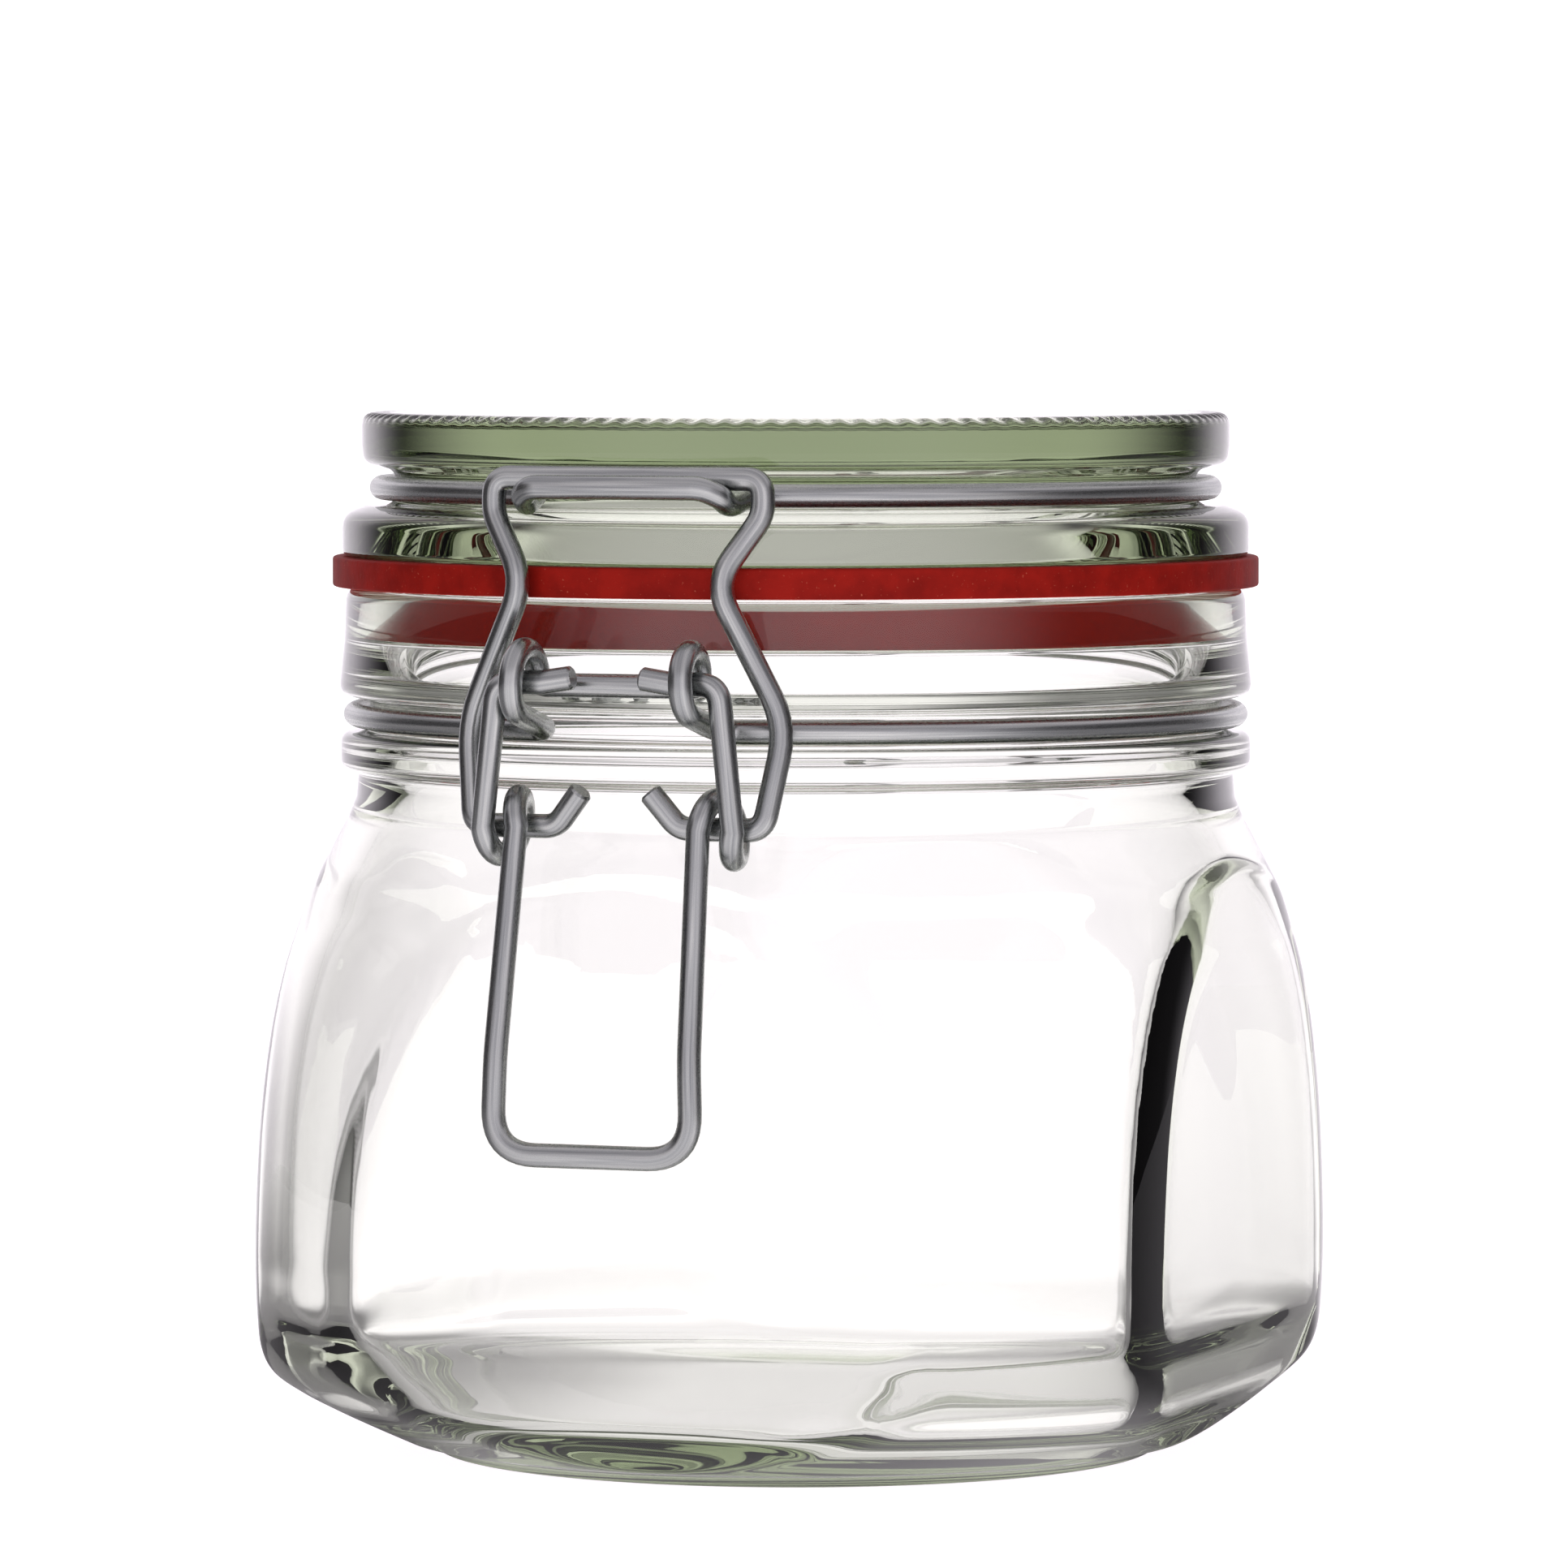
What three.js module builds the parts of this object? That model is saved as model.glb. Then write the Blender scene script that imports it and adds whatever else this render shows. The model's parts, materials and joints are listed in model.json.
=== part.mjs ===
// A bail clamp jar: a glass preserving jar with four flattened sides, a glass lid on a rubber ring,
// and the four bent wires that clamp the lid down.
// Millimetres, +Z up. The origin is on the jar's axis at its base. The clamp faces -Y and the hinge +Y.
import * as THREE from "three";

// Overall sizes
const HEIGHT = 106.5; // base to the top of the lid
const FLAT = 48.4; // axis to each flattened side
const CORNER = 56.9; // axis to the rounded corners between the sides
const WALL = 4.15; // glass thickness of the body
const RING = 47.5; // outer radius of the rubber ring
const MOUTH = 39.6; // radius of the jar's opening
const WIRE = 2.4; // wire diameter
const GAP = 0.3; // clearance between pieces that touch

// Levels
const BEAD_Z = 72; // rounded bead at the foot of the neck
const NECK_WIRE_Z = 75.6; // groove that holds the neck wire
const RIM_Z = 88.7; // top of the jar's rim
const SEAT_Z = 91.8; // underside of the lid where it presses on the rubber ring
const LID_WIRE_Z = 98.8; // groove in the lid that holds the lid wire

// Radii at the bottom of the two grooves
const NECK_GROOVE = 43.7;
const LID_GROOVE = 41;

// Pivots of the clamp, as a distance in front of the jar's axis and a height
const LEVER_PIVOT = { forward: 51.8, z: 80.6 };
const HINGE_PIVOT = { forward: -52.2, z: 84.2 };
const BAIL_PIVOT = { forward: 49, z: 66.3 };
const EYE = 3.2; // mean radius of the neck wire's eyes
const COIL = 2.9; // mean radius of the lever's coils

// Distances of the wires' parts from the middle plane
const EYE_X = 8.9; // eyes of the neck wire
const LEVER_X = 11.7; // tops of the lever's arms
const HINGE_X = 12.6; // arms of the lid wire that reach down to the hinge
const TIP_X = 3.6; // cut ends of the pins

// The two faces of the body's wall. `roundness` is how nearly the arc of a corner meets the sides at a
// tangent, and `blend` the width over which what is left of the edge between them is softened.
const OUTSIDE = { side: FLAT, corner: CORNER, roundness: 0.36, blend: 3.2 };
const INSIDE = { side: FLAT - WALL, corner: CORNER - WALL, roundness: 0.2, blend: 0.95 };

// Heights between which the sections change from a rounded square to a circle cut by the four sides
const ROUNDED_TO = 28;
const CUT_FROM = 56;
const HEEL_TOP = 20;
const HEEL_TUCK = 0.45; // how far the sides turn in with the corners, round the heel

// Fineness
const AROUND = 56; // facets around the glass and the rubber
const WIRE_SIDES = 8;
const BEND_STEP = Math.PI / 8;

const glass = new THREE.MeshStandardMaterial({
  color: 0xd9e8dd,
  roughness: 0.05,
  metalness: 0,
  transparent: true,
  opacity: 0.4,
});
const steel = new THREE.MeshStandardMaterial({ color: 0xb4b6b5, roughness: 0.35, metalness: 1 });
const rubber = new THREE.MeshStandardMaterial({ color: 0xa8301f, roughness: 0.85, metalness: 0 });

// ---- Glass and rubber ----

// The smaller of two radii, blended where they are within `blend` of each other.
function softMin(a, b, blend) {
  const overlap = Math.max(blend - Math.abs(a - b), 0) / blend;
  return Math.min(a, b) - (overlap * overlap * blend) / 4;
}

// The distance from the axis, at `angle` about it, of a face of the body's wall whose corners lie at
// `radius`. Each corner is an arc about a point on its diagonal.
function squared(radius, z, angle, face) {
  const quarter = Math.PI / 2;
  const fromSide = Math.abs(angle - quarter * Math.round(angle / quarter));
  const cos = Math.cos(fromSide);
  const sin = Math.sin(fromSide);
  const side = face.side - (z < HEEL_TOP ? HEEL_TUCK * (face.corner - radius) : 0);
  const share = face.roundness * (1 - THREE.MathUtils.smoothstep(z, ROUNDED_TO, CUT_FROM));
  const centre = (share * Math.max(radius - side, 0)) / (Math.SQRT2 - 1);
  const arc = radius - centre * Math.SQRT2;
  const reach = centre * (cos - sin);
  const corner =
    fromSide < Math.atan2(centre, centre + arc)
      ? (centre + arc) / cos
      : centre * (cos + sin) + Math.sqrt(arc * arc - reach * reach);
  const edge = Math.max(centre + arc - side, 1e-3);
  return softMin(corner, side / cos, Math.min(face.blend, edge));
}

// A solid of revolution about Z from a [radius, z] profile. A third value marks a point of the body's
// wall, which follows the four flattened sides: it is the face of the wall that the point lies on.
function turned(name, profile, material) {
  const outline = profile.map(([radius, z]) => new THREE.Vector2(radius, z));
  const geometry = new THREE.LatheGeometry(outline, AROUND).rotateX(Math.PI / 2);
  const at = geometry.getAttribute("position");
  for (let i = 0; i < at.count; i++) {
    const [radius, z, face] = profile[i % profile.length];
    if (!face) continue;
    const angle = Math.atan2(at.getY(i), at.getX(i));
    const distance = squared(radius, z, angle, face);
    at.setXY(i, distance * Math.cos(angle), distance * Math.sin(angle));
  }
  const mesh = new THREE.Mesh(geometry, material);
  mesh.name = name;
  return mesh;
}

function glassJar() {
  const foot = [
    [0, 2.8],
    [30, 2.2],
    [33, 0.9],
    [34.2, 0],
    [36.8, 0],
    [38.7, 1.5],
  ];
  const heel = [
    [40.8, 1.5],
    [44.6, 3.2],
    [48.4, 5],
    [52, 6.9],
    [54.8, 8.9],
    [56.2, 11.4],
  ];
  const shoulder = [
    [56.7, 15],
    [CORNER, 20.6],
    [56.8, 25.4],
    [56.5, 30.6],
    [56, 35.5],
    [55.2, 40.4],
    [54.1, 45.4],
    [52.6, 50.4],
    [50.7, 55.2],
    [49.6, 58],
    [48.4, 60.4],
    [45.9, 65.2],
  ];
  const neck = [
    [45, 68.4],
    [45.2, BEAD_Z - 2.1],
    [46.2, BEAD_Z - 1.6],
    [46.7, BEAD_Z - 0.6],
    [46.7, BEAD_Z + 0.6],
    [46, BEAD_Z + 1.6],
    [NECK_GROOVE, NECK_WIRE_Z - 1.7],
    [NECK_GROOVE, NECK_WIRE_Z + 1.8],
    [46.2, NECK_WIRE_Z + 2.1],
    [46.7, NECK_WIRE_Z + 2.9],
    [46.3, RIM_Z - 5.3],
    [46.1, RIM_Z - 1.7],
    [45.3, RIM_Z - 0.5],
    [44.3, RIM_Z],
  ];
  const mouth = [
    [MOUTH + 0.4, RIM_Z],
    [MOUTH, RIM_Z - 0.4],
    [MOUTH + 0.1, RIM_Z - 1],
    [MOUTH + 4.6, RIM_Z - 5],
    [MOUTH + 4.8, RIM_Z - 5.8],
    [MOUTH + 4.2, NECK_WIRE_Z + 4],
    [MOUTH + 3.4, NECK_WIRE_Z + 3.2],
    [MOUTH + 1.4, NECK_WIRE_Z + 2],
    [MOUTH + 1.1, NECK_WIRE_Z + 1.3],
    [MOUTH + 1.1, NECK_WIRE_Z - 1.2],
    [MOUTH + 3.1, BEAD_Z + 1],
    [MOUTH + 3.3, BEAD_Z],
    [MOUTH + 2.5, BEAD_Z - 4],
  ];
  const floor = [
    [50.3, 11.6],
    [47, 8.7],
    [42.5, 7],
  ];
  const outside = [...heel, ...shoulder].map(([radius, z]) => [radius, z, OUTSIDE]);
  const inside = shoulder.map(([radius, z]) => [radius - WALL, z, INSIDE]).reverse();
  const inFloor = floor.map(([radius, z]) => [radius, z, INSIDE]);
  const pushUp = [
    [30, 7],
    [0, 8.2],
  ];
  const profile = [...foot, ...outside, ...neck, ...mouth, ...inside, ...inFloor, ...pushUp];
  return turned("glass_jar", profile, glass);
}

function glassLid() {
  const top = [
    [0, HEIGHT],
    [42.4, HEIGHT],
    [43.4, HEIGHT - 0.3],
    [44.2, HEIGHT - 1.1],
    [44.5, HEIGHT - 2.3],
    [44.4, LID_WIRE_Z + 3],
    [43.6, LID_WIRE_Z + 2.4],
  ];
  const groove = [
    [LID_GROOVE, LID_WIRE_Z + 1.6],
    [LID_GROOVE, LID_WIRE_Z - 1.6],
  ];
  const flange = [
    [44, SEAT_Z + 5.1],
    [45.5, SEAT_Z + 4.6],
    [46.2, SEAT_Z + 3.6],
    [46.5, SEAT_Z + 2.4],
    [46.5, SEAT_Z + 0.6],
    [46, SEAT_Z],
  ];
  const plug = [
    [MOUTH - 1, SEAT_Z],
    [MOUTH - 1.5, SEAT_Z - 0.5],
    [MOUTH - 1.6, SEAT_Z - 4],
    [MOUTH - 2.4, SEAT_Z - 4.6],
    [MOUTH - 3.6, SEAT_Z - 4.6],
    [MOUTH - 4.2, SEAT_Z - 4],
  ];
  const dome = [
    [33.4, SEAT_Z - 1.6],
    [29.5, SEAT_Z + 2],
    [25.3, SEAT_Z + 5.2],
    [20, SEAT_Z + 7.6],
    [12, SEAT_Z + 8.6],
    [0, SEAT_Z + 8.8],
  ];
  return turned("glass_lid", [...top, ...groove, ...flange, ...plug, ...dome].reverse(), glass);
}

function rubberGasket() {
  const low = RIM_Z + GAP;
  const high = SEAT_Z - GAP;
  const profile = [
    [MOUTH, low],
    [RING - 0.4, low],
    [RING, low + 0.4],
    [RING, high - 0.4],
    [RING - 0.4, high],
    [MOUTH, high],
    [MOUTH, low],
  ];
  return turned("rubber_gasket", profile, rubber);
}

// ---- Wires ----

// A centreline through stations, with one step of the extrusion to each, so that they can be close
// together in the bends and far apart on the straights.
class Centreline extends THREE.Curve {
  constructor(stations) {
    super();
    this.stations = stations;
  }
  getPoint(t, target = new THREE.Vector3()) {
    const last = this.stations.length - 1;
    const i = Math.min(Math.floor(t * last + 1e-6), last - 1);
    return target.lerpVectors(this.stations[i], this.stations[i + 1], t * last - i);
  }
  getPointAt(u, target) {
    return this.getPoint(u, target);
  }
  getTangentAt(u, target = new THREE.Vector3()) {
    const last = this.stations.length - 1;
    const i = Math.round(u * last);
    const here = this.stations[i];
    const before = here.clone().sub(this.stations[Math.max(i - 1, 0)]).normalize();
    const after = this.stations[Math.min(i + 1, last)].clone().sub(here).normalize();
    return target.addVectors(before, after).normalize();
  }
}

// Rounds a line of [x, forward, z, bend] corners: each corner that has a bend radius becomes an arc.
function bent(corners) {
  const points = corners.map(([x, forward, z]) => new THREE.Vector3(x, -forward, z));
  const stations = [];
  points.forEach((corner, i) => {
    const radius = corners[i][3];
    if (!radius) {
      stations.push(corner);
      return;
    }
    const back = points[i - 1].clone().sub(corner);
    const ahead = points[i + 1].clone().sub(corner);
    const turn = Math.PI - back.angleTo(ahead);
    const room = 0.49 * Math.min(back.length(), ahead.length());
    const reach = Math.min(radius * Math.tan(turn / 2), room);
    const start = corner.clone().addScaledVector(back.normalize(), reach);
    const end = corner.clone().addScaledVector(ahead.normalize(), reach);
    const arc = new THREE.QuadraticBezierCurve3(start, corner, end);
    stations.push(...arc.getPoints(Math.ceil(turn / BEND_STEP)));
  });
  return stations;
}

// Corners round a line that runs along X: from one angle to another, drifting from x0 to x1.
// Angles are in degrees, from straight down and towards the front.
function loop(pivot, radius, [from, to], [x0, x1]) {
  const count = Math.ceil(Math.abs(to - from) / 24);
  return Array.from({ length: count + 1 }, (_, i) => {
    const angle = THREE.MathUtils.degToRad(from + ((to - from) * i) / count);
    const x = x0 + ((x1 - x0) * i) / count;
    return [x, pivot.forward + radius * Math.sin(angle), pivot.z - radius * Math.cos(angle)];
  });
}

// Corners round the jar on its +X side, from the front to the back, stopping short of where the wire
// turns out of its groove at `x` from the middle plane.
function halfRing(radius, z, x) {
  const bend = 0.07; // radians taken up by the bend out of the groove
  const first = Math.asin(x / radius) + bend;
  const count = 24;
  return Array.from({ length: count + 1 }, (_, i) => {
    const angle = first + ((Math.PI - 2 * first) * i) / count;
    return [radius * Math.sin(angle), radius * Math.cos(angle), z];
  });
}

// A wire that is the same on both sides: `half` runs from the middle plane to the tip at +X.
function wire(name, half) {
  const section = new THREE.Shape(
    new THREE.EllipseCurve(0, 0, WIRE / 2, WIRE / 2).getPoints(WIRE_SIDES).slice(0, WIRE_SIDES),
  );
  const stations = bent(half);
  const mirrored = stations.slice(1).map((p) => new THREE.Vector3(-p.x, p.y, p.z));
  const extrudePath = new Centreline([...mirrored.reverse(), ...stations]);
  const steps = extrudePath.stations.length - 1;
  const mesh = new THREE.Mesh(new THREE.ExtrudeGeometry(section, { steps, extrudePath }), steel);
  mesh.name = name;
  return mesh;
}

// The wire round the jar's neck. Its ends and its front bar curl into the eyes that hold the pins.
function neckWire() {
  const radius = NECK_GROOVE + GAP + WIRE / 2;
  const x = EYE_X + 0.6;
  const out = Math.sqrt(radius * radius - x * x);
  const bar = { forward: LEVER_PIVOT.forward - EYE - 0.1, z: LEVER_PIVOT.z - 0.4 };
  const stem = { x: EYE_X + 0.3, forward: 48.4, z: NECK_WIRE_Z + 0.9 }; // between the groove and an eye
  return wire("neck_wire", [
    [0, bar.forward, bar.z],
    [EYE_X - 0.4, bar.forward, bar.z, 1.8],
    ...loop(LEVER_PIVOT, EYE, [245, 20], [EYE_X - 0.3, EYE_X + 0.2]),
    [stem.x, stem.forward, stem.z, 4],
    [x, out, NECK_WIRE_Z, 2.4],
    ...halfRing(radius, NECK_WIRE_Z, x),
    [x, -out, NECK_WIRE_Z, 2.4],
    [stem.x, -stem.forward, stem.z, 4],
    ...loop(HINGE_PIVOT, EYE, [-20, -270], [EYE_X + 0.2, EYE_X - 0.3]),
  ]);
}

// The wire round the lid. It makes the bracket for the bail in front and the hinge's pins behind.
function lidWire() {
  const radius = LID_GROOVE + GAP + WIRE / 2;
  const x = 12;
  const out = Math.sqrt(radius * radius - x * x);
  const saddle = 46.3; // where the bail's bar rests across the bracket
  return wire("lid_wire", [
    [0, saddle + 3.4, LID_WIRE_Z + 0.9],
    [9, saddle + 3.4, LID_WIRE_Z + 0.9, 2],
    [10.4, saddle + 2, LID_WIRE_Z + 0.1, 2],
    [10.7, saddle, LID_WIRE_Z - 0.9, 3],
    [11.2, saddle - 2.8, LID_WIRE_Z - 0.2, 3],
    [x, out, LID_WIRE_Z, 2.4],
    ...halfRing(radius, LID_WIRE_Z, x),
    [x, -out, LID_WIRE_Z, 2.4],
    [HINGE_X, HINGE_PIVOT.forward, LID_WIRE_Z - 1, 3.5],
    [HINGE_X, HINGE_PIVOT.forward, HINGE_PIVOT.z, 2.2],
    [TIP_X, HINGE_PIVOT.forward, HINGE_PIVOT.z],
  ]);
}

// The bail, which hooks over the bracket and turns in the lever's coils.
function bailWire() {
  const bar = { forward: 46.2, z: 100.6 };
  return wire("bail_wire", [
    [0, bar.forward, bar.z],
    [14.2, bar.forward, bar.z, 3],
    [14.3, 46.3, 97, 4],
    [10.1, 48.9, 90.4, 5],
    [16.8, 46.6, 76.5, 9],
    [15.3, BAIL_PIVOT.forward, BAIL_PIVOT.z, 1.9],
    [6.5, BAIL_PIVOT.forward, BAIL_PIVOT.z, 2.5],
    [TIP_X, BAIL_PIVOT.forward + 0.6, BAIL_PIVOT.z + 3.6],
  ]);
}

// The lever: its pins turn in the neck wire's front eyes, and each side makes a coil above the handle.
function leverWire() {
  const handle = { forward: 56.1, z: 34.4 };
  return wire("lever_wire", [
    [0, handle.forward, handle.z],
    [10.5, handle.forward, handle.z, 4.5],
    [10.2, handle.forward - 0.2, handle.z + 9.6, 20],
    ...loop(BAIL_PIVOT, COIL, [90, 450], [9.6, 13.2]),
    [LEVER_X, LEVER_PIVOT.forward, LEVER_PIVOT.z, 2.2],
    [EYE_X - 2, LEVER_PIVOT.forward, LEVER_PIVOT.z, 2],
    [TIP_X, LEVER_PIVOT.forward, LEVER_PIVOT.z + 0.5],
  ]);
}

const group = new THREE.Group();
group.add(glassJar(), glassLid(), rubberGasket(), neckWire(), lidWire(), bailWire(), leverWire());
export default group;
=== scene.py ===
"""A bail clamp jar: glass jar, glass lid, rubber ring and the four wires of its clamp.

Every piece is rebuilt finer than its CAD node, to the same dimensions, and replaces it.
Lengths are millimetres until a mesh is made, where they become metres.
"""
import json
import math

import bpy
import numpy as np
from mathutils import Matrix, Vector


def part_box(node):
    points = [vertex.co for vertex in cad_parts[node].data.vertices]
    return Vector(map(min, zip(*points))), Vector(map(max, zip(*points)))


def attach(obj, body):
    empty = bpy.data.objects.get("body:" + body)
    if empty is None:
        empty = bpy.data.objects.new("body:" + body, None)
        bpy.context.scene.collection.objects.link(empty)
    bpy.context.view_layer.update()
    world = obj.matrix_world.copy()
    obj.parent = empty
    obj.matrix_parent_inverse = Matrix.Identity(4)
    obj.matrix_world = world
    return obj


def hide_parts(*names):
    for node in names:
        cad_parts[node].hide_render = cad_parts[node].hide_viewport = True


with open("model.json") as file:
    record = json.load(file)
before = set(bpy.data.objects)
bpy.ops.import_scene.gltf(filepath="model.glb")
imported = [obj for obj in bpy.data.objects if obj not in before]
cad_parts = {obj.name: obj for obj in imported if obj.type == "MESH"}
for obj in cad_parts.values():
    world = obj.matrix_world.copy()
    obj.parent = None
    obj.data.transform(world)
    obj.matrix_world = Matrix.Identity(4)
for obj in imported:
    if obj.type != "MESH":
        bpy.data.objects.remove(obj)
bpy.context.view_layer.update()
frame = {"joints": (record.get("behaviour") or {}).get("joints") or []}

MM = 0.001

# ---- Dimensions, from the frame where it holds them ----


def top_of(node):
    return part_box(node)[1].z / MM


HEIGHT = top_of("glass_lid")
RIM_Z = top_of("glass_jar")
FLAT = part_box("glass_jar")[1].x / MM  # axis to each flattened side
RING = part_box("rubber_gasket")[1].x / MM  # outer radius of the rubber ring
SEAT_Z = top_of("rubber_gasket") + 0.3  # underside of the lid where it presses on the ring
CORNER = 56.9  # axis to the rounded corners between the sides
WALL = 4.15  # glass thickness of the body
MOUTH = 39.6
WIRE = 2.4
BEAD_Z = 72.0
NECK_WIRE_Z = 75.6
LID_WIRE_Z = 98.8
NECK_GROOVE = 43.7
LID_GROOVE = 41.0
EYE = 3.2  # mean radius of the neck wire's eyes
COIL = 2.9  # mean radius of the lever's coils
EYE_X = 8.9  # eyes of the neck wire
LEVER_X = 11.7  # tops of the lever's arms
HINGE_X = 12.6  # arms of the lid wire that reach down to the hinge
TIP_X = 3.6  # cut ends of the pins

# The two faces of the body's wall. "roundness" is how nearly the arc of a corner meets the sides at a
# tangent, and "blend" the width over which what is left of the edge between them is softened.
OUTSIDE = {"side": FLAT, "corner": CORNER, "roundness": 0.36, "blend": 3.2}
INSIDE = {"side": FLAT - WALL, "corner": CORNER - WALL, "roundness": 0.2, "blend": 0.95}
ROUNDED_TO, CUT_FROM = 28, 56  # heights where a rounded square starts and ends turning into a cut circle
HEEL_TOP = 20
HEEL_TUCK = 0.45  # how far the sides turn in with the corners, round the heel


def pivot(joint):
    """(distance in front of the axis, height) of a joint's axis."""
    place = next(j["pos_m"] for j in frame["joints"] if j["name"] == joint)
    return -place[1] / MM, place[2] / MM


LEVER_PIVOT = pivot("lever_pivot")
HINGE_PIVOT = pivot("lid_hinge")
BAIL_PIVOT = pivot("bail_pivot")

# ---- Outlines ----


def spline(points, per_span=8):
    """A smooth line through points, evenly sampled between each two."""
    p = np.array(points, float)
    p = np.vstack([2 * p[0] - p[1], p, 2 * p[-1] - p[-2]])
    made = []
    for a, b, c, d in zip(p, p[1:], p[2:], p[3:]):
        for t in np.arange(per_span) / per_span:
            made.append(
                0.5 * (2 * b + (c - a) * t + (2 * a - 5 * b + 4 * c - d) * t**2
                       + (3 * b - a - 3 * c + d) * t**3)
            )
    return [*made, p[-2]]


def bent(corners, radius, step=math.radians(10)):
    """A line through corners, each rounded to a bend.

    A corner is a point, which is given the common radius, or a pair of a point and its own radius.
    """
    split = [c if isinstance(c[0], tuple) else (c, radius) for c in corners]
    at = [np.array(c, float) for c, _ in split]
    made = [at[0]]
    for i in range(1, len(at) - 1):
        bend = split[i][1]
        back, ahead = at[i - 1] - at[i], at[i + 1] - at[i]
        lengths = np.linalg.norm(back), np.linalg.norm(ahead)
        back, ahead = back / lengths[0], ahead / lengths[1]
        turn = math.pi - math.acos(np.clip(back @ ahead, -1, 1))
        if not bend or turn < 1e-3:  # a plain corner, or a straight line
            made.append(at[i])
            continue
        reach = min(bend * math.tan(turn / 2), 0.49 * min(lengths))
        start, end = at[i] + back * reach, at[i] + ahead * reach
        for t in np.linspace(0, 1, max(2, math.ceil(turn / step)) + 1):
            made.append((1 - t) ** 2 * start + 2 * t * (1 - t) * at[i] + t**2 * end)
    return [*made, at[-1]]


def mesh_object(name, verts_mm, faces, material, smooth_angle=40):
    """A mesh object from vertices in millimetres, smooth except at edges sharper than smooth_angle."""
    mesh = bpy.data.meshes.new(name)
    mesh.from_pydata((np.asarray(verts_mm) * MM).tolist(), [], faces)
    mesh.update()
    mesh.shade_smooth()
    mesh.set_sharp_from_angle(angle=math.radians(smooth_angle))
    mesh.materials.append(material)
    obj = bpy.data.objects.new(name, mesh)
    bpy.context.scene.collection.objects.link(obj)
    return obj


def lathe(name, profile, around, material, shape=None):
    """A closed solid of revolution. A profile point on the axis becomes one vertex.

    shape(row, angles, radii, heights) is given any other ring and returns its new radii and heights.
    """
    angles = np.linspace(0, 2 * math.pi, around, endpoint=False)
    verts, rows = [], []
    for row, (radius, z) in enumerate(profile):
        if radius < 1e-6:
            rows.append([len(verts)])
            verts.append((0, 0, z))
            continue
        r, h = np.full(around, float(radius)), np.full(around, float(z))
        if shape:
            r, h = shape(row, angles, r, h)
        rows.append(list(range(len(verts), len(verts) + around)))
        verts.extend(zip(r * np.cos(angles), r * np.sin(angles), h))
    faces = []
    if np.allclose(profile[0], profile[-1]):  # the outline closes on itself
        del verts[rows[-1][0]:]
        rows[-1] = rows[0]
    for low, high in zip(rows, rows[1:]):
        for i in range(around):
            j = (i + 1) % around
            if len(low) == 1:
                faces.append((low[0], high[j], high[i]))
            elif len(high) == 1:
                faces.append((low[i], low[j], high[0]))
            else:
                faces.append((low[i], low[j], high[j], high[i]))
    return mesh_object(name, verts, faces, material)


# ---- Glass ----


def soft_min(a, b, blend):
    """The smaller of two lengths, blended where they are within blend of each other."""
    overlap = np.maximum(blend - np.abs(a - b), 0) / blend
    return np.minimum(a, b) - overlap**2 * blend / 4


def smooth_step(value, low, high):
    t = min(max((value - low) / (high - low), 0), 1)
    return t * t * (3 - 2 * t)


def squared(radius, z, angle, face):
    """The distance from the axis of a face of the body's wall whose corners lie at radius.

    Each corner is an arc about a point on its diagonal.
    """
    from_side = abs((angle + math.pi / 4) % (math.pi / 2) - math.pi / 4)
    cos, sin = np.cos(from_side), np.sin(from_side)
    side = face["side"] - (HEEL_TUCK * (face["corner"] - radius) if z < HEEL_TOP else 0)
    share = face["roundness"] * (1 - smooth_step(z, ROUNDED_TO, CUT_FROM))
    centre = share * max(radius - side, 0) / (math.sqrt(2) - 1)
    arc = radius - centre * math.sqrt(2)
    reach = centre * (cos - sin)
    corner = np.where(
        from_side < math.atan2(centre, centre + arc),
        (centre + arc) / cos,
        centre * (cos + sin) + np.sqrt(arc**2 - reach**2),
    )
    edge = max(centre + arc - side, 1e-3)
    return soft_min(corner, side / cos, min(face["blend"], edge))


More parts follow.
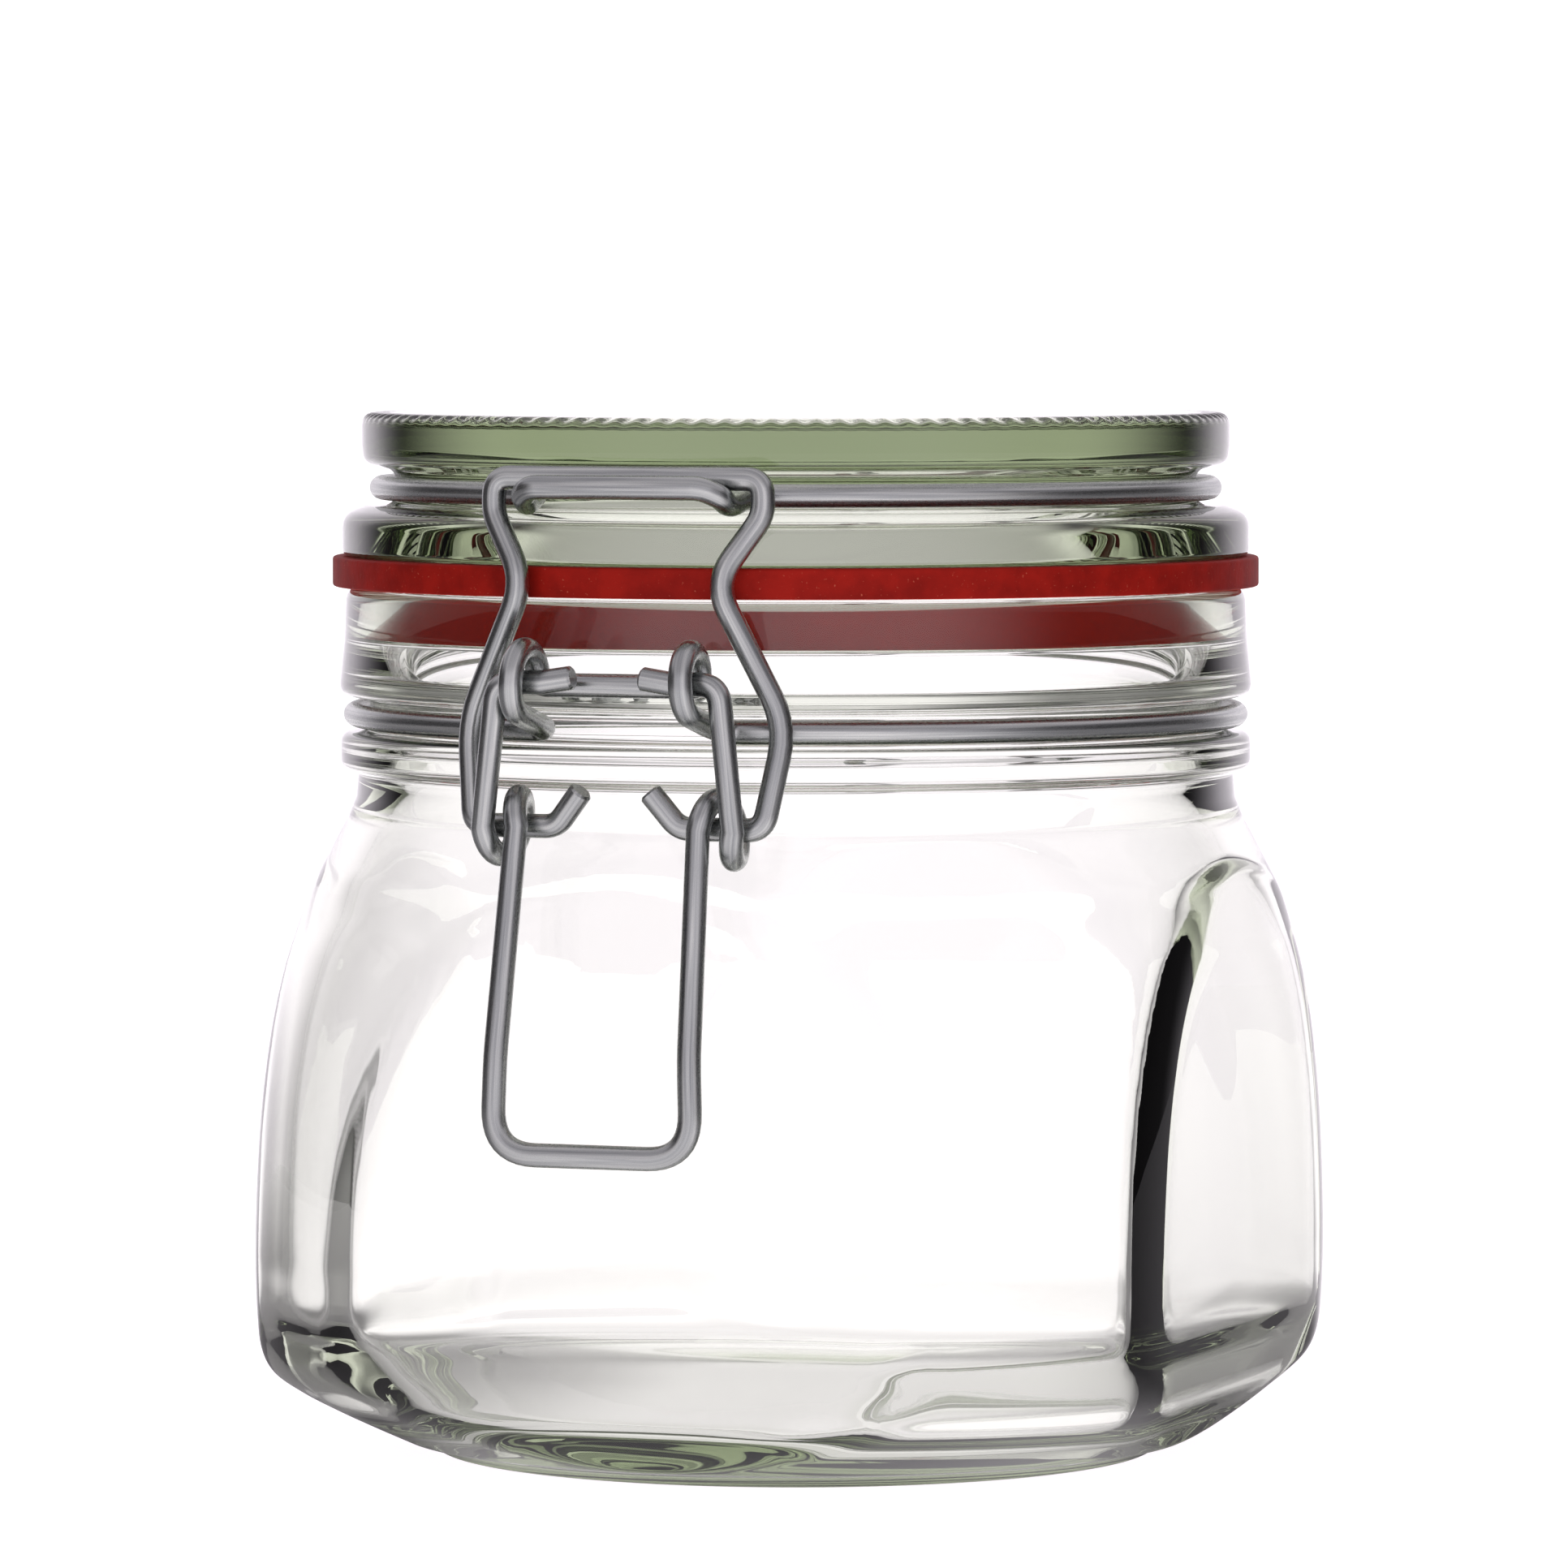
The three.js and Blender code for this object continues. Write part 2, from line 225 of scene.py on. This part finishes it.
def glass_jar(material):
    foot = bent([(0, 2.8), (30, 2.2), (33.2, 0.7), (34.2, 0), (36.8, 0), (38.7, 1.5)], 1.0)
    heel = [(40.8, 1.5), (44.6, 3.2), (48.4, 5), (52, 6.9), (54.8, 8.9), (56.2, 11.4)]
    shoulder = [
        (56.7, 15), (CORNER, 20.6), (56.8, 25.4), (56.5, 30.6), (56, 35.5), (55.2, 40.4), (54.1, 45.4),
        (52.6, 50.4), (50.7, 55.2), (49.6, 58), (48.4, 60.4), (45.9, 65.2),
    ]
    neck = bent([
        (45.1, 67.2), (44.9, BEAD_Z - 2.0), (46.7, BEAD_Z - 1.8), (46.7, BEAD_Z + 1.8),
        (NECK_GROOVE, BEAD_Z + 1.9), (NECK_GROOVE, NECK_WIRE_Z + 1.8), (46.9, NECK_WIRE_Z + 2.0),
        (46.3, RIM_Z - 5.3), ((46.1, RIM_Z), 1.6), ((MOUTH, RIM_Z), 0.5), ((MOUTH, RIM_Z - 0.9), 0.4),
        ((MOUTH + 4.9, RIM_Z - 5.3), 0.8), (MOUTH + 4.2, NECK_WIRE_Z + 3.6),
        (MOUTH + 1.1, NECK_WIRE_Z + 1.8), (MOUTH + 1.1, NECK_WIRE_Z - 1.6),
        (MOUTH + 3.4, BEAD_Z + 0.5), (MOUTH + 2.5, BEAD_Z - 4),
    ], 1.3)
    wall = [(radius - WALL, z) for radius, z in shoulder]
    body = spline([*heel, *shoulder])
    inside = spline([*wall[::-1], (50.6, 12), (47.4, 9), (42.5, 7.2), (36, 7)])
    push_up = [(30, 7.0), (20, 7.4), (10, 8), (0, 8.2)]
    profile = [*foot, *body, *neck, *inside, *push_up]
    first_body, first_inside = len(foot), len(foot) + len(body) + len(neck)

    def shape(row, angles, r, z):
        if first_body <= row < first_body + len(body):
            return squared(r[0], z[0], angles, OUTSIDE), z
        if first_inside <= row < first_inside + len(inside):
            return squared(r[0], z[0], angles, INSIDE), z
        return r, z

    return lathe("jar_glass", profile, 256, material, shape)


def glass_lid(material):
    top = [(0, HEIGHT), (41.2, HEIGHT)]
    outside = bent([
        (41.6, HEIGHT), ((44.5, HEIGHT), 2.4), ((44.5, HEIGHT - 3.4), 4), ((44.3, LID_WIRE_Z + 2.6), 1.6),
        (LID_GROOVE, LID_WIRE_Z + 1.7), (LID_GROOVE, LID_WIRE_Z - 1.7), (44.0, SEAT_Z + 5.2),
        ((46.5, SEAT_Z + 4.2), 2.2), ((46.5, SEAT_Z), 0.8), (MOUTH - 1.2, SEAT_Z),
        (MOUTH - 1.6, SEAT_Z - 4.6), (MOUTH - 4, SEAT_Z - 4.6),
    ], 1.4)
    dome = spline([(33.4, 90.2), (29.5, 93.8), (25.3, 97), (20, 99.4), (12, 100.4)])
    profile = [*top, *outside, *dome, (0, 100.6)][::-1]

    teeth, depth, middle = 122, 0.4, 43.6  # a ring of shallow notches round the edge of the top
    top_edge = HEIGHT - 0.9

    def shape(row, angles, r, z):
        if z[0] > top_edge and r[0] > middle - 1.6:
            wave = 0.5 + 0.5 * np.cos(teeth * angles)
            return r, z - depth * wave * np.clip(1 - abs(r[0] - middle), 0, 1)
        return r, z

    return lathe("lid_glass", profile, 8 * teeth, material, shape)


def rubber_gasket(material):
    low, high = RIM_Z + 0.02, SEAT_Z - 0.02
    start = (MOUTH, (low + high) / 2)
    profile = [start, (MOUTH, high), (RING, high), (RING, low), (MOUTH, low), start]
    return lathe("gasket_rubber", bent(profile, 0.35, math.radians(22)), 360, material)


# ---- Wires ----


def loop(pivot_at, radius, turn, drift, step=10):
    """Corners round a line along X, from one angle to another, drifting from one x to another.

    Angles are in degrees: 0 is straight down and 90 in front.
    """
    count = math.ceil(abs(turn[1] - turn[0]) / step)
    made = []
    for i in range(count + 1):
        angle = math.radians(turn[0] + (turn[1] - turn[0]) * i / count)
        x = drift[0] + (drift[1] - drift[0]) * i / count
        place = (x, pivot_at[0] + radius * math.sin(angle), pivot_at[1] - radius * math.cos(angle))
        made.append((place, 0))
    return made


def half_ring(radius, z, x, count=80):
    """Corners round the jar on its +X side, from front to back, short of where the wire turns out at x."""
    bend = 0.07  # radians taken up by the bend out of the groove
    first = math.asin(x / radius) + bend
    made = []
    for i in range(count + 1):
        angle = first + (math.pi - 2 * first) * i / count
        made.append(((radius * math.sin(angle), radius * math.cos(angle), z), 0))
    return made


def wire(name, half, material, sides=24):
    """A wire alike on both sides.

    half runs from the middle plane to the tip at +X, as (x, forward, z) corners.
    """
    line = np.array(bent(half, 6)) * (1, -1, 1)
    line = np.vstack([(line[1:] * (-1, 1, 1))[::-1], line])
    steps = np.linalg.norm(np.diff(line, axis=0), axis=1)
    line = line[np.concatenate([[True], steps > 1e-4])]  # without repeated points
    along = np.concatenate([[0], np.cumsum(np.linalg.norm(np.diff(line, axis=0), axis=1))])
    tangents = np.gradient(line, along, axis=0)
    tangents /= np.linalg.norm(tangents, axis=1)[:, None]
    normal = np.cross(tangents[0], (0.3, 0.5, 0.8))  # any direction across the wire's first end
    angles = np.linspace(0, 2 * math.pi, sides, endpoint=False)
    verts, places, faces = [], [], []
    chamfer = 0.22  # round the cut ends
    last, full = len(line) - 1, WIRE / 2
    rings = [(0, full - chamfer, 0), (0, full, chamfer), *((i, full, 0) for i in range(1, last)),
             (last, full, -chamfer), (last, full - chamfer, 0)]
    for i, radius, shift in rings:
        t = tangents[i]
        normal = normal - t * (normal @ t)
        normal /= np.linalg.norm(normal)
        side = np.cross(t, normal)
        centre = line[i] + t * shift
        for a in angles:
            c, s = math.cos(a), math.sin(a)
            verts.append(centre + (normal * c + side * s) * radius)
            places.append((c * full, s * full, along[i]))
    for k in range(len(rings) - 1):
        for a in range(sides):
            b = (a + 1) % sides
            faces.append((k * sides + a, k * sides + b, (k + 1) * sides + b, (k + 1) * sides + a))
    end = (len(rings) - 1) * sides
    faces.append(tuple(range(sides))[::-1])
    faces.append(tuple(range(end, end + sides)))
    obj = mesh_object(name, verts, faces, material)
    drawn = obj.data.attributes.new("drawn", "FLOAT_VECTOR", "POINT")
    drawn.data.foreach_set("vector", np.array(places, float).ravel())
    return obj


def neck_wire(material):
    radius = NECK_GROOVE + 0.3 + WIRE / 2
    x = EYE_X + 0.6
    out = math.sqrt(radius**2 - x**2)
    bar = LEVER_PIVOT[0] - EYE - 0.1, LEVER_PIVOT[1] - 0.4
    stem_x, stem, stem_z = EYE_X + 0.3, 48.4, NECK_WIRE_Z + 0.9  # between the groove and an eye
    return wire("wire_neck", [
        ((0, *bar), 0),
        ((EYE_X - 0.4, *bar), 1.8),
        *loop(LEVER_PIVOT, EYE, (245, 20), (EYE_X - 0.3, EYE_X + 0.2)),
        ((stem_x, stem, stem_z), 4),
        ((x, out, NECK_WIRE_Z), 2.4),
        *half_ring(radius, NECK_WIRE_Z, x),
        ((x, -out, NECK_WIRE_Z), 2.4),
        ((stem_x, -stem, stem_z), 4),
        *loop(HINGE_PIVOT, EYE, (-20, -270), (EYE_X + 0.2, EYE_X - 0.3)),
    ], material)


def lid_wire(material):
    radius = LID_GROOVE + 0.3 + WIRE / 2
    x = 12
    out = math.sqrt(radius**2 - x**2)
    saddle = 46.3  # where the bail's bar rests across the bracket
    return wire("wire_lid", [
        ((0, saddle + 3.4, LID_WIRE_Z + 0.9), 0),
        ((9, saddle + 3.4, LID_WIRE_Z + 0.9), 2),
        ((10.4, saddle + 2, LID_WIRE_Z + 0.1), 2),
        ((10.7, saddle, LID_WIRE_Z - 0.9), 3),
        ((11.2, saddle - 2.8, LID_WIRE_Z - 0.2), 3),
        ((x, out, LID_WIRE_Z), 2.4),
        *half_ring(radius, LID_WIRE_Z, x),
        ((x, -out, LID_WIRE_Z), 2.4),
        ((HINGE_X, HINGE_PIVOT[0], LID_WIRE_Z - 1), 3.5),
        ((HINGE_X, HINGE_PIVOT[0], HINGE_PIVOT[1]), 2.2),
        ((TIP_X, HINGE_PIVOT[0], HINGE_PIVOT[1]), 0),
    ], material)


def bail_wire(material):
    forward, z = BAIL_PIVOT
    bar = 46.2, 100.6
    return wire("wire_bail", [
        ((0, *bar), 0),
        ((14.2, *bar), 3),
        ((14.3, 46.3, 97), 4),
        ((10.1, 48.9, 90.4), 5),
        ((16.8, 46.6, 76.5), 9),
        ((15.3, forward, z), 1.9),
        ((6.5, forward, z), 2.5),
        ((TIP_X, forward + 0.6, z + 3.6), 0),
    ], material)


def lever_wire(material):
    handle, z = 56.1, 34.4
    return wire("wire_lever", [
        ((0, handle, z), 0),
        ((10.5, handle, z), 4.5),
        ((10.2, handle - 0.2, z + 9.6), 20),
        *loop(BAIL_PIVOT, COIL, (90, 450), (9.6, 13.2)),
        ((LEVER_X, *LEVER_PIVOT), 2.2),
        ((EYE_X - 2, *LEVER_PIVOT), 2),
        ((TIP_X, LEVER_PIVOT[0], LEVER_PIVOT[1] + 0.5), 0),
    ], material)


# ---- Materials ----


def new_material(name):
    material = bpy.data.materials.new(name)
    material.use_nodes = True
    nodes, links = material.node_tree.nodes, material.node_tree.links
    return material, nodes, links, nodes["Principled BSDF"]


def clear_glass():
    material, nodes, links, shader = new_material("clear_glass")
    shader.inputs["Base Color"].default_value = (1, 1, 1, 1)
    shader.inputs["Transmission Weight"].default_value = 1
    shader.inputs["Roughness"].default_value = 0.0
    shader.inputs["IOR"].default_value = 1.52
    tint = nodes.new("ShaderNodeVolumeAbsorption")
    tint.inputs["Color"].default_value = (0.30, 0.41, 0.11, 1)
    tint.inputs["Density"].default_value = 25
    links.new(tint.outputs["Volume"], nodes["Material Output"].inputs["Volume"])
    return material


def noise(nodes, links, vector, scale, detail=4, roughness=0.5):
    texture = nodes.new("ShaderNodeTexNoise")
    texture.inputs["Scale"].default_value = scale
    texture.inputs["Detail"].default_value = detail
    texture.inputs["Roughness"].default_value = roughness
    links.new(vector, texture.inputs["Vector"])
    return texture.outputs["Fac"]


def colours(nodes, links, value, *stops):
    """A colour ramp through (position, (r, g, b)) stops."""
    node = nodes.new("ShaderNodeValToRGB")
    elements = node.color_ramp.elements
    while len(elements) < len(stops):
        elements.new(0.5)
    for element, (position, colour) in zip(elements, stops):
        element.position = position
        element.color = (*colour, 1)
    links.new(value, node.inputs["Fac"])
    return node.outputs["Color"]


def blend(nodes, links, factor, colour, other):
    """The colour where factor is 0, and a second, constant colour where it is 1."""
    mix = nodes.new("ShaderNodeMix")
    mix.data_type = "RGBA"
    links.new(factor, mix.inputs["Factor"])
    links.new(colour, mix.inputs["A"])
    mix.inputs["B"].default_value = other
    return mix.outputs["Result"]


def scaled(nodes, links, vector, factors):
    mapping = nodes.new("ShaderNodeMapping")
    mapping.inputs["Scale"].default_value = factors
    links.new(vector, mapping.inputs["Vector"])
    return mapping.outputs["Vector"]


def drawn_steel():
    """Galvanised spring wire: streaks along its length, fine grain across, small pits."""
    material, nodes, links, shader = new_material("steel_wire")
    shader.inputs["Metallic"].default_value = 1
    place = nodes.new("ShaderNodeAttribute")
    place.attribute_name = "drawn"
    streaks = noise(nodes, links, scaled(nodes, links, place.outputs["Vector"], (1.6, 1.6, 0.03)), 1.6, 6)
    grain = noise(nodes, links, scaled(nodes, links, place.outputs["Vector"], (3, 3, 0.6)), 3.0, 5, 0.7)
    colour = colours(nodes, links, streaks, (0.3, (0.24, 0.252, 0.258)), (0.5, (0.4, 0.415, 0.41)),
                     (0.72, (0.6, 0.615, 0.59)))
    links.new(colour, shader.inputs["Base Color"])
    rough = nodes.new("ShaderNodeMapRange")
    links.new(grain, rough.inputs["Value"])
    rough.inputs["To Min"].default_value = 0.15
    rough.inputs["To Max"].default_value = 0.42
    links.new(rough.outputs["Result"], shader.inputs["Roughness"])
    bump = nodes.new("ShaderNodeBump")
    bump.inputs["Strength"].default_value = 0.35
    bump.inputs["Distance"].default_value = 0.00006
    links.new(streaks, bump.inputs["Height"])
    links.new(bump.outputs["Normal"], shader.inputs["Normal"])
    return material


def red_rubber():
    """Moulded rubber, matt, with a fine pale speckle, an uneven surface and painted light that makes its
    underside lighter.
    """
    material, nodes, links, shader = new_material("red_rubber")
    place = nodes.new("ShaderNodeTexCoord").outputs["Object"]
    cloud = noise(nodes, links, place, 300, 3)
    red = colours(nodes, links, cloud, (0.35, (0.23, 0.006, 0.003)), (0.65, (0.34, 0.010, 0.005)))
    dots = noise(nodes, links, place, 3200, 2)
    speckle = colours(nodes, links, dots, (0.68, (0, 0, 0)), (0.78, (1, 1, 1)))
    # Painted light: the faces turned down are painted a lighter red, standing in for the light that
    # reaches them.
    facing = nodes.new("ShaderNodeSeparateXYZ")
    links.new(nodes.new("ShaderNodeTexCoord").outputs["Normal"], facing.inputs[0])
    painted_light_underside = nodes.new("ShaderNodeMapRange")
    links.new(facing.outputs["Z"], painted_light_underside.inputs["Value"])
    painted_light_underside.inputs["From Min"].default_value = -0.7
    painted_light_underside.inputs["From Max"].default_value = -0.95
    red = blend(nodes, links, painted_light_underside.outputs["Result"], red, (0.75, 0.03, 0.015, 1))
    red = blend(nodes, links, speckle, red, (0.5, 0.1, 0.06, 1))
    links.new(red, shader.inputs["Base Color"])
    shader.inputs["Roughness"].default_value = 0.62
    shader.inputs["Specular IOR Level"].default_value = 0.1
    bump = nodes.new("ShaderNodeBump")
    bump.inputs["Strength"].default_value = 0.5
    bump.inputs["Distance"].default_value = 0.00008
    links.new(noise(nodes, links, place, 1500, 4), bump.inputs["Height"])
    links.new(bump.outputs["Normal"], shader.inputs["Normal"])
    return material


# ---- The object ----

glass = clear_glass()
steel = drawn_steel()
rubber = red_rubber()

PIECES = [
    (glass_jar(glass), "jar", "glass_jar", "clear_glass"),
    (neck_wire(steel), "jar", "neck_wire", "steel_wire"),
    (glass_lid(glass), "lid", "glass_lid", "clear_glass"),
    (lid_wire(steel), "lid", "lid_wire", "steel_wire"),
    (rubber_gasket(rubber), "lid", "rubber_gasket", "red_rubber"),
    (lever_wire(steel), "lever", "lever_wire", "steel_wire"),
    (bail_wire(steel), "bail", "bail_wire", "steel_wire"),
]
for piece, body, node, slot in PIECES:
    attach(piece, body)
    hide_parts(node)

# ---- Studio ----


def calculated(nodes, links, operation, *values):
    """A Math node fed by numbers or sockets."""
    node = nodes.new("ShaderNodeMath")
    node.operation = operation
    for socket, value in zip(node.inputs, values):
        if isinstance(value, (int, float)):
            socket.default_value = value
        else:
            links.new(value, socket)
    return node.outputs[0]


def ramp(nodes, links, value, low, high, start, end):
    """start where the value is below low, end where it is above high, and a smooth change between."""
    node = nodes.new("ShaderNodeMapRange")
    node.interpolation_type = "SMOOTHSTEP"
    for socket, number in zip(list(node.inputs)[1:5], (low, high, start, end)):
        socket.default_value = number
    links.new(value, node.inputs[0])
    return node.outputs[0]


def studio_light(nodes, links, direction):
    """The light that comes from a direction: a white backdrop, dark sides and a soft light in front."""
    split = nodes.new("ShaderNodeSeparateXYZ")
    links.new(direction, split.inputs[0])
    x, y, _ = split.outputs
    middle = math.radians(-20)  # where the backdrop is brightest, from +Y
    towards = calculated(nodes, links, "ADD",
                         calculated(nodes, links, "MULTIPLY", x, math.sin(middle)),
                         calculated(nodes, links, "MULTIPLY", y, math.cos(middle)))
    level = calculated(nodes, links, "SQRT", calculated(
        nodes, links, "ADD",
        calculated(nodes, links, "MULTIPLY", x, x), calculated(nodes, links, "MULTIPLY", y, y)))
    cosine = calculated(nodes, links, "DIVIDE", towards,
                        calculated(nodes, links, "MAXIMUM", level, 1e-4))
    away = calculated(nodes, links, "ARCCOSINE", cosine)
    backdrop = ramp(nodes, links, away, math.radians(28), math.radians(56), 1.2, 0.0)
    front = ramp(nodes, links, away, math.radians(100), math.radians(150), 0.0, 1.0)
    sides = 0.06
    return calculated(nodes, links, "ADD", calculated(nodes, links, "ADD", backdrop, front), sides)


def floor():
    """A round floor, white to the camera.

    To other rays it glows with painted light, each part nearly as bright as the wall beyond it, and darker
    beside the jar, a painted shadow.
    """
    radius = 0.7
    bpy.ops.mesh.primitive_circle_add(vertices=96, radius=radius, fill_type="NGON", location=(0, 0, 0))
    obj = bpy.context.object
    obj.name = "studio_floor"
    material, nodes, links, shader = new_material("studio_floor")
    shader.inputs["Base Color"].default_value = (0.25, 0.25, 0.25, 1)
    shader.inputs["Roughness"].default_value = 1
    shader.inputs["Specular IOR Level"].default_value = 0
    shader.inputs["Emission Color"].default_value = (1, 0.95, 1, 1)
    place = nodes.new("ShaderNodeTexCoord").outputs["Object"]
    centre = nodes.new("ShaderNodeVectorMath")
    centre.operation = "LENGTH"
    links.new(place, centre.inputs[0])
    # Painted shadow: the floor's glow falls to 0.7 of its light beside the jar, and is 0.9 of it clear of
    # the jar.
    painted_shadow_beside_jar, clear_of_jar = 0.7, 0.9  # shares of the light
    share = ramp(nodes, links, centre.outputs["Value"], 0.05, 0.13, painted_shadow_beside_jar, clear_of_jar)
    # Painted light: the glow stands in for the studio light falling on the floor, with a little more from
    # above.
    painted_light_from_above = 0.1
    lit = calculated(nodes, links, "ADD", studio_light(nodes, links, place), painted_light_from_above)
    glow = calculated(nodes, links, "MULTIPLY", share, lit)
    seen = nodes.new("ShaderNodeLightPath").outputs["Is Camera Ray"]
    links.new(calculated(nodes, links, "MAXIMUM", glow, seen), shader.inputs["Emission Strength"])
    obj.data.materials.append(material)


def surroundings():
    """The studio's walls and ceiling, plain white to the camera."""
    world = bpy.data.worlds.new("studio")
    bpy.context.scene.world = world
    world.use_nodes = True
    nodes, links = world.node_tree.nodes, world.node_tree.links
    background = nodes["Background"]
    direction = nodes.new("ShaderNodeTexCoord").outputs["Generated"]
    split = nodes.new("ShaderNodeSeparateXYZ")
    links.new(direction, split.inputs[0])
    walls = studio_light(nodes, links, direction)
    overhead = ramp(nodes, links, split.outputs["Z"], 0.3, 0.6, 0.0, 1.0)
    ceiling_light = 0.7
    level = calculated(
        nodes, links, "ADD",
        calculated(nodes, links, "MULTIPLY", walls, calculated(nodes, links, "SUBTRACT", 1.0, overhead)),
        calculated(nodes, links, "MULTIPLY", overhead, ceiling_light))
    seen = nodes.new("ShaderNodeLightPath").outputs["Is Camera Ray"]
    links.new(calculated(nodes, links, "MAXIMUM", level, seen), background.inputs["Strength"])
    colour = colours(nodes, links, seen, (0, (0.99, 0.93, 1)), (1, (1, 1, 1)))
    links.new(colour, background.inputs["Color"])


def photo_camera():
    """A long lens just above the lid's height, 21 degrees to the right of the clamp."""
    azimuth = math.radians(20.9)
    distance, eye = 1.03, 0.121
    aim_right, aim_height = -0.0012, 0.06825
    seen_width = 0.161  # of the view, at the jar's axis
    sensor = 36
    back = Vector((math.sin(azimuth), -math.cos(azimuth), 0))
    right = Vector((math.cos(azimuth), math.sin(azimuth), 0))
    data = bpy.data.cameras.new("camera")
    camera = bpy.data.objects.new("camera", data)
    bpy.context.scene.collection.objects.link(camera)
    camera.location = back * distance + Vector((0, 0, eye))
    aim = aim_right * right + Vector((0, 0, aim_height))
    camera.rotation_euler = (aim - camera.location).to_track_quat("-Z", "Y").to_euler()
    data.sensor_width = sensor
    data.lens = sensor * distance / seen_width
    data.clip_end = 50
    bpy.context.scene.camera = camera


floor()
surroundings()
photo_camera()
bpy.context.scene.view_settings.view_transform = "Standard"
cycles = bpy.context.scene.cycles  # light crosses many surfaces of glass before it leaves the jar
cycles.max_bounces = 24
cycles.transmission_bounces = 24
cycles.glossy_bounces = 8
